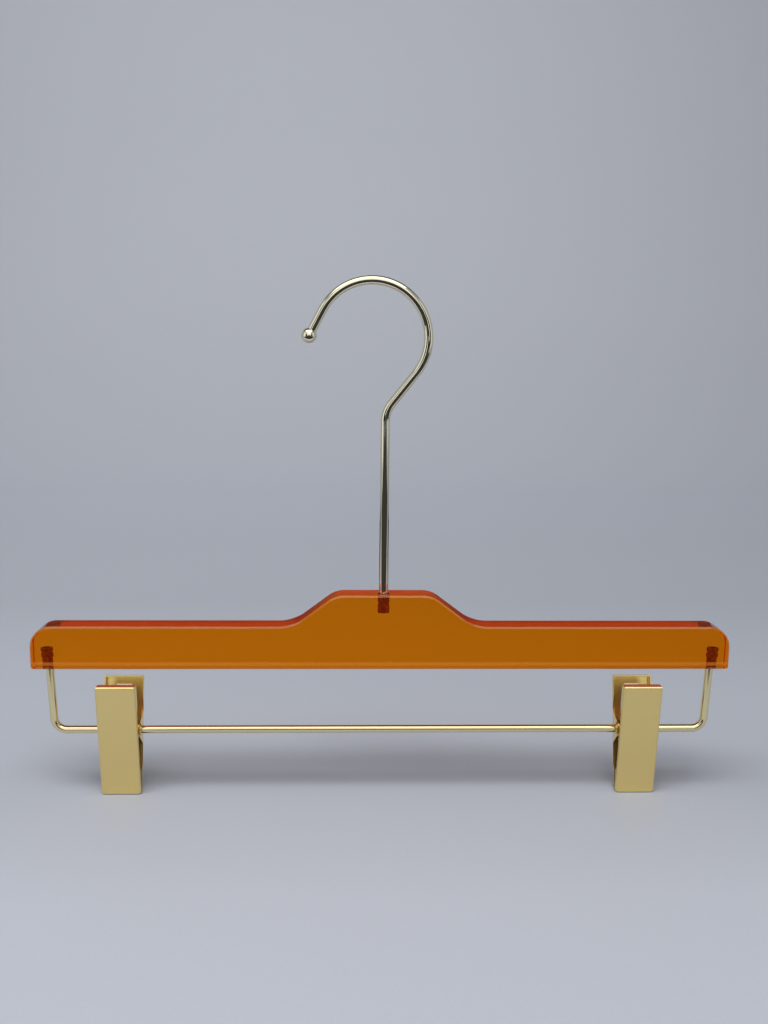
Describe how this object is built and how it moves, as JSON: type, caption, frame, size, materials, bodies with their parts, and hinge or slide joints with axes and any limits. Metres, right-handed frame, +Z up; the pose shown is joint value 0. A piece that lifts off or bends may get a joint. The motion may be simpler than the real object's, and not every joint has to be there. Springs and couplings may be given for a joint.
{
  "type": "trouser hanger",
  "caption": "Clear amber acrylic hanger beam with a swivelling wire hook, and a wire bar below it that carries two sliding spring clips for trousers or skirts.",
  "frame": {"origin": "the rail seat: the top of the inside of the hook's arc, in the middle plane of the beam", "axes": "+X along the beam to the right, with the hook's mouth at -X; -Y is the front; +Z up"},
  "size_m": [0.35, 0.0242, 0.2602],
  "materials": {
    "amber_acrylic": "clear amber, polished faces and edges",
    "gold_wire": "polished pale gold plate",
    "insert_brass": "turned and knurled",
    "clip_steel": "satin pale gold plate",
    "spring_steel": "bright spring strip",
    "pad_rubber": "matt grey-brown"
  },
  "bodies": {
    "hook": {"hook_wire": "gold_wire", "hook_ball_tip": "gold_wire", "hook_lock_collar": "insert_brass"},
    "hanger": {"beam": "amber_acrylic", "hook_socket": "insert_brass", "left_bar_socket": "insert_brass", "right_bar_socket": "insert_brass", "trouser_bar": "gold_wire"},
    "left_clip_carrier": {"left_clip_pivot_tube": "clip_steel"},
    "left_clip_back": {"left_clip_back_jaw": "clip_steel", "left_clip_spring": "spring_steel", "left_clip_back_pad": "pad_rubber"},
    "left_clip_front": {"left_clip_front_jaw": "clip_steel", "left_clip_front_pad": "pad_rubber"},
    "right_clip_carrier": {"right_clip_pivot_tube": "clip_steel"},
    "right_clip_back": {"right_clip_back_jaw": "clip_steel", "right_clip_spring": "spring_steel", "right_clip_back_pad": "pad_rubber"},
    "right_clip_front": {"right_clip_front_jaw": "clip_steel", "right_clip_front_pad": "pad_rubber"}
  },
  "joints": [
    {"name": "hook_swivel", "type": "hinge", "parent": "hook", "child": "hanger", "pos_m": [0.0066, 0, -0.155], "axis": [0, 0, 1], "continuous": true},
    {"name": "left_clip_slide", "type": "slide", "parent": "hanger", "child": "left_clip_carrier", "axis": [1, 0, 0], "range_m": [-0.0162, 0.1219]},
    {"name": "left_clip_swing", "type": "hinge", "parent": "left_clip_carrier", "child": "left_clip_back", "pos_m": [-0.12642, 0, -0.22237], "axis": [1, 0, 0], "continuous": true},
    {"name": "left_clip_open", "type": "hinge", "parent": "left_clip_back", "child": "left_clip_front", "pos_m": [-0.12642, 0, -0.22237], "axis": [-1, 0, 0], "range_deg": [0, 36], "stiffness_Nm_per_rad": 0.35, "springref_deg": -24.64, "deforming": ["left_clip_spring"]},
    {"name": "right_clip_slide", "type": "slide", "parent": "hanger", "child": "right_clip_carrier", "axis": [1, 0, 0], "range_m": [-0.1199, 0.0182]},
    {"name": "right_clip_swing", "type": "hinge", "parent": "right_clip_carrier", "child": "right_clip_back", "pos_m": [0.13762, 0, -0.22237], "axis": [1, 0, 0], "continuous": true},
    {"name": "right_clip_open", "type": "hinge", "parent": "right_clip_back", "child": "right_clip_front", "pos_m": [0.13762, 0, -0.22237], "axis": [-1, 0, 0], "range_deg": [0, 36], "stiffness_Nm_per_rad": 0.35, "springref_deg": -24.64, "deforming": ["right_clip_spring"]}
  ]
}
